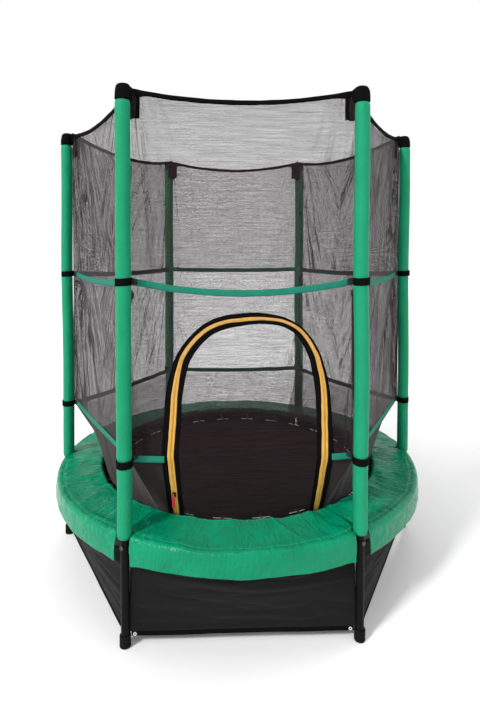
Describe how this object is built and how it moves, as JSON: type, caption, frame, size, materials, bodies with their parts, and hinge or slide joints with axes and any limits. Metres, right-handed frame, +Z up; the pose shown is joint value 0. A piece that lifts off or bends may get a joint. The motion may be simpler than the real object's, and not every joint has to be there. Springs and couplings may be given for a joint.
{
  "type": "backyard trampoline",
  "caption": "Round child's trampoline on straight legs, with foam-covered net poles, a mesh enclosure, an arched zip door, a padded rim and a cloth skirt.",
  "frame": {"origin": "centre of the round frame, on the ground", "axes": "+Z up, the zip door faces -Y, +X to the right of someone facing the door from outside"},
  "size_m": [1.4286, 1.4038, 1.629],
  "materials": {
    "black_tube": "black powder-coated steel",
    "green_sleeve": "green foam sleeve under a soft film",
    "black_plastic": "moulded black plastic",
    "zinc_steel": "zinc-plated steel",
    "black_rubber": "black rubber",
    "black_fabric": "woven black polyester",
    "mat_fabric": "tightly woven black mat",
    "elastic_cord": "braided black elastic cord",
    "green_pvc": "shiny green coated cloth over foam",
    "black_net": "fine black mesh",
    "green_webbing": "woven green webbing",
    "gold_tape": "gold woven zip tape",
    "black_metal": "black lacquered metal",
    "red_plastic": "red moulded pull",
    "skirt_fabric": "dark woven skirt cloth",
    "white_plastic": "white moulded eyelets"
  },
  "bodies": {
    "frame": {"ring_segment_right": "black_tube", "leg_right": "black_tube", "pole_right": "black_tube", "foam_sleeve_right": "green_sleeve", "ring_segment_rear_right": "black_tube", "leg_rear_right": "black_tube", "pole_rear_right": "black_tube", "foam_sleeve_rear_right": "green_sleeve", "ring_segment_rear_left": "black_tube", "leg_rear_left": "black_tube", "pole_rear_left": "black_tube", "foam_sleeve_rear_left": "green_sleeve", "ring_segment_left": "black_tube", "leg_left": "black_tube", "pole_left": "black_tube", "foam_sleeve_left": "green_sleeve", "ring_segment_front_left": "black_tube", "leg_front_left": "black_tube", "pole_front_left": "black_tube", "foam_sleeve_front_left": "green_sleeve", "ring_segment_front_right": "black_tube", "leg_front_right": "black_tube", "pole_front_right": "black_tube", "foam_sleeve_front_right": "green_sleeve", "leg_saddles": "black_plastic", "frame_bolts": "zinc_steel", "foot_caps": "black_rubber", "pole_plugs": "black_plastic", "pole_hoods": "black_fabric", "band_wraps": "black_fabric", "elastic_loops": "elastic_cord", "pad_section_front": "green_pvc", "net_side_front": "black_net", "pad_section_front_right": "green_pvc", "net_side_front_right": "black_net", "pad_section_rear_right": "green_pvc", "net_side_rear_right": "black_net", "pad_section_rear": "green_pvc", "net_side_rear": "black_net", "pad_section_rear_left": "green_pvc", "net_side_rear_left": "black_net", "pad_section_front_left": "green_pvc", "net_side_front_left": "black_net", "net_foot_panels": "black_net", "top_rope": "black_fabric", "corner_patches": "black_fabric", "mid_band": "green_webbing", "low_band": "green_webbing", "door_band_outer": "black_fabric", "zip_tape_outer": "gold_tape", "skirt_panels": "skirt_fabric", "skirt_hems": "black_fabric", "skirt_eyelets": "white_plastic"},
    "mat": {"mat": "mat_fabric", "mat_webbing": "black_fabric"},
    "door": {"zip_tape_inner": "gold_tape", "door_band_inner": "black_fabric", "door_net": "black_net"},
    "slider": {"zip_slider": "black_metal"},
    "puller": {"zip_puller": "red_plastic"}
  },
  "joints": [
    {"name": "mat_bounce", "type": "slide", "parent": "frame", "child": "mat", "axis": [0, 0, 1], "range_m": [-0.15, 0], "stiffness_N_per_m": 2500, "springref_m": 0.006, "deforming": ["elastic_loops"]},
    {"name": "door_fold", "type": "hinge", "parent": "frame", "child": "door", "pos_m": [0, -0.47, 0.318], "axis": [-1, 0, 0], "range_deg": [0, 95]},
    {"name": "zip_slide", "type": "slide", "parent": "frame", "child": "slider", "axis": [-0.0422, -0.349, 0.9362], "range_m": [0, 0.09]},
    {"name": "puller_swing", "type": "hinge", "parent": "slider", "child": "puller", "pos_m": [-0.21025, -0.53045, 0.41013], "axis": [-0.9816, 0.1909, 0], "range_deg": [-5, 100]}
  ]
}
